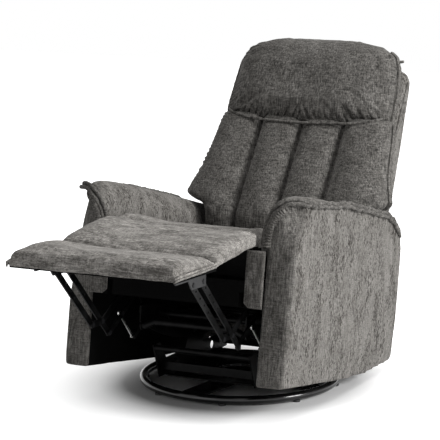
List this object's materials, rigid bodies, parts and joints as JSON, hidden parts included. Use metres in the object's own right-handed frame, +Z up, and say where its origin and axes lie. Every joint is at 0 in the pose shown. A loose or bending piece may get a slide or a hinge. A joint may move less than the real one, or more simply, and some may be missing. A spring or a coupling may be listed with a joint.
{
  "type": "recliner",
  "caption": "Swivel and rocking recliner, back reclined and footrest out, with a tied headrest pillow, channelled back, padded arms and a lazy-tongs footrest over a ring base.",
  "frame": {"origin": "the swivel axis where it meets the floor", "axes": "+Z up, the sitter faces -Y, +X is the sitter's left"},
  "size_m": [0.714, 1.5783, 0.9809],
  "materials": {
    "gloss_black_steel": "gloss",
    "black_steel": "satin",
    "black_plastic": "matte",
    "bright_steel": "satin",
    "zinc_steel": "bright",
    "wood": "raw",
    "black_cloth": "woven",
    "upholstery": "chenille"
  },
  "bodies": {
    "base": {"base_ring": "gloss_black_steel", "base_cross_bars": "gloss_black_steel", "base_hub": "black_steel", "floor_glides": "black_plastic", "bearing_balls": "bright_steel"},
    "carriage": {"turning_race": "black_steel", "swivel_plate": "black_steel", "left_side_frame": "black_steel", "right_side_frame": "black_steel", "front_cross_rail": "black_steel", "rear_cross_rail": "black_steel", "bumper_bars": "black_steel", "rocker_pins": "bright_steel", "carriage_bolts": "bright_steel", "left_rocker_spring": "bright_steel", "right_rocker_spring": "bright_steel"},
    "chair": {"left_rocker_plate": "black_steel", "right_rocker_plate": "black_steel", "arched_cross_tube": "black_steel", "rear_cross_tube": "black_steel", "plate_spacers": "black_steel", "left_side_plate": "black_steel", "right_side_plate": "black_steel", "side_plate_rivets": "bright_steel", "left_seat_rail": "wood", "right_seat_rail": "wood", "front_seat_rail": "black_cloth", "rear_seat_rail": "wood", "rear_apron": "upholstery", "seat_webbing": "black_cloth", "front_strips": "upholstery", "left_arm_box": "wood", "right_arm_box": "wood", "left_arm_pad": "upholstery", "right_arm_pad": "upholstery", "seat_cushion": "upholstery", "back_hinge_brackets": "black_steel", "back_hinge_pins": "bright_steel"},
    "back": {"back_frame": "black_steel", "back_shell": "upholstery", "back_cushion": "upholstery", "headrest_pillow": "upholstery"},
    "rear_links": {"left_rear_link": "black_steel", "right_rear_link": "black_steel", "rear_link_rivets": "bright_steel"},
    "front_links": {"left_front_link": "black_steel", "right_front_link": "black_steel", "drive_rod_rivets": "bright_steel"},
    "upper_rear_links": {"left_upper_rear_link": "black_steel", "right_upper_rear_link": "black_steel", "upper_rear_rivets": "bright_steel"},
    "upper_front_links": {"left_upper_front_link": "black_steel", "right_upper_front_link": "black_steel", "upper_front_rivets": "bright_steel"},
    "footrest": {"footrest_brackets": "black_steel", "footrest_board": "wood", "footrest_pad": "upholstery"},
    "bridge": {"bridge_pad": "upholstery"},
    "shaft": {"drive_shaft": "black_steel"},
    "rods": {"drive_rods": "zinc_steel"}
  },
  "joints": [
    {"name": "swivel", "type": "hinge", "parent": "base", "child": "carriage", "pos_m": [0, 0, 0.045], "axis": [0, 0, 1], "continuous": true},
    {"name": "rock", "type": "hinge", "parent": "carriage", "child": "chair", "pos_m": [0, 0, 0.15], "axis": [1, 0, 0], "range_deg": [0, 12], "deforming": ["left_rocker_spring", "right_rocker_spring"]},
    {"name": "recline", "type": "hinge", "parent": "chair", "child": "back", "pos_m": [0, 0.2676, 0.40123], "axis": [1, 0, 0], "range_deg": [0, 18]},
    {"name": "footrest_fold", "type": "hinge", "parent": "chair", "child": "rear_links", "pos_m": [0, -0.30315, 0.35191], "axis": [1, 0, 0], "range_deg": [0, 92.35]},
    {"name": "front_link_turn", "type": "hinge", "parent": "chair", "child": "front_links", "pos_m": [0, -0.26142, 0.31493], "axis": [1, 0, 0], "range_deg": [0, 91.72]},
    {"name": "upper_rear_link_turn", "type": "hinge", "parent": "rear_links", "child": "upper_rear_links", "pos_m": [0, -0.48031, 0.26252], "axis": [1, 0, 0], "range_deg": [-86.77, 0]},
    {"name": "upper_front_link_turn", "type": "hinge", "parent": "rear_links", "child": "upper_front_links", "pos_m": [0, -0.53588, 0.26322], "axis": [1, 0, 0], "range_deg": [-86.38, 0]},
    {"name": "footrest_tilt", "type": "hinge", "parent": "upper_rear_links", "child": "footrest", "pos_m": [0, -0.66909, 0.45138], "axis": [1, 0, 0], "range_deg": [0, 81.96]},
    {"name": "shaft_turn", "type": "hinge", "parent": "chair", "child": "shaft", "pos_m": [0, -0.18727, 0.23332], "axis": [1, 0, 0], "range_deg": [0, 91.72]},
    {"name": "rod_turn", "type": "hinge", "parent": "front_links", "child": "rods", "pos_m": [0, -0.36229, 0.26107], "axis": [1, 0, 0], "range_deg": [-91.72, 0]},
    {"name": "bridge_fold", "type": "hinge", "parent": "chair", "child": "bridge", "pos_m": [0, -0.40263, 0.49726], "axis": [1, 0, 0], "range_deg": [0, 66.01], "deforming": ["bridge_pad"]}
  ],
  "couplings": [
    {"joint": "front_link_turn", "follows": "footrest_fold", "ratio": 0.99307},
    {"joint": "upper_rear_link_turn", "follows": "footrest_fold", "ratio": -0.93947},
    {"joint": "upper_front_link_turn", "follows": "footrest_fold", "ratio": -0.93525},
    {"joint": "footrest_tilt", "follows": "footrest_fold", "ratio": 0.88738},
    {"joint": "shaft_turn", "follows": "footrest_fold", "ratio": 0.99307},
    {"joint": "rod_turn", "follows": "footrest_fold", "ratio": -0.99307},
    {"joint": "bridge_fold", "follows": "footrest_fold", "ratio": 0.7147}
  ]
}
